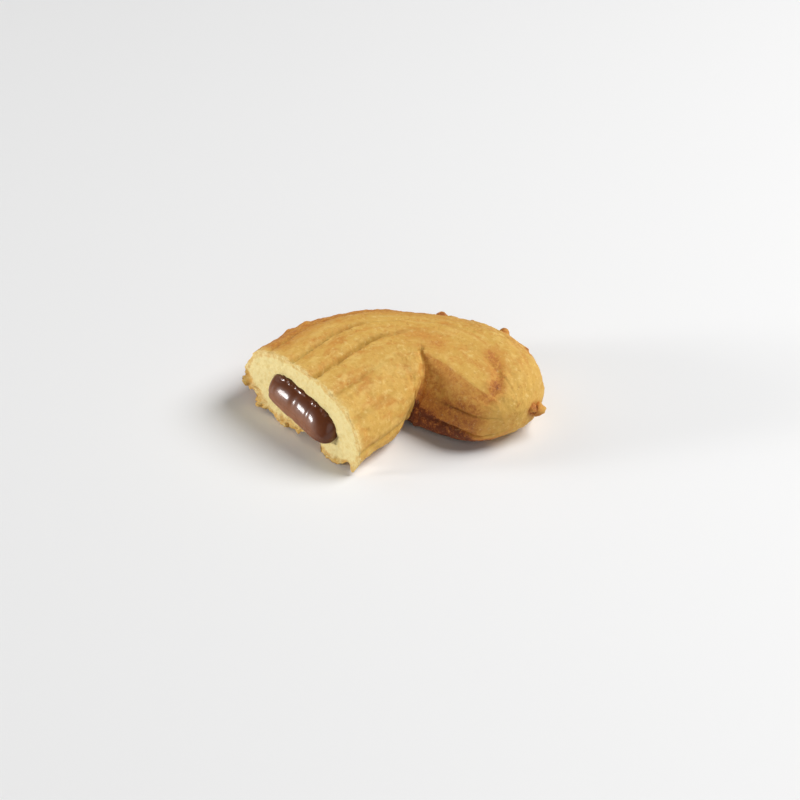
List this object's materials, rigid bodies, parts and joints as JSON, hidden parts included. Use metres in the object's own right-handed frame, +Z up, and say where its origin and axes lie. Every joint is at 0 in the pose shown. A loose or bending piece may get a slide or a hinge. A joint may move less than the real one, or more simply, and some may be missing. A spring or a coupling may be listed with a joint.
{
  "type": "half filled s-shaped biscuit",
  "caption": "Half of a filled S-shaped biscuit, cut across: a ridged rope of piped shortcrust bent round to a rounded tip, its cocoa cream core bulging out of the cut.",
  "frame": {"origin": "middle of the footprint's bounding box, on the surface it rests on", "axes": "+Z up, the shortest extent; +X along the longest extent, from the cut arm towards the rounded tip; -Y towards the side where the cut and the inner corner show"},
  "size_m": [0.0434, 0.0298, 0.0115],
  "materials": {
    "baked_dough": "dry, matte, finely grained golden crust; pale yellow open crumb on the cut face; browner on the outer edge and the tip",
    "cocoa_cream": "smooth, soft, glossy brown cream"
  },
  "bodies": {
    "root": {"biscuit_dough": "baked_dough", "cocoa_cream": "cocoa_cream"}
  },
  "joints": []
}
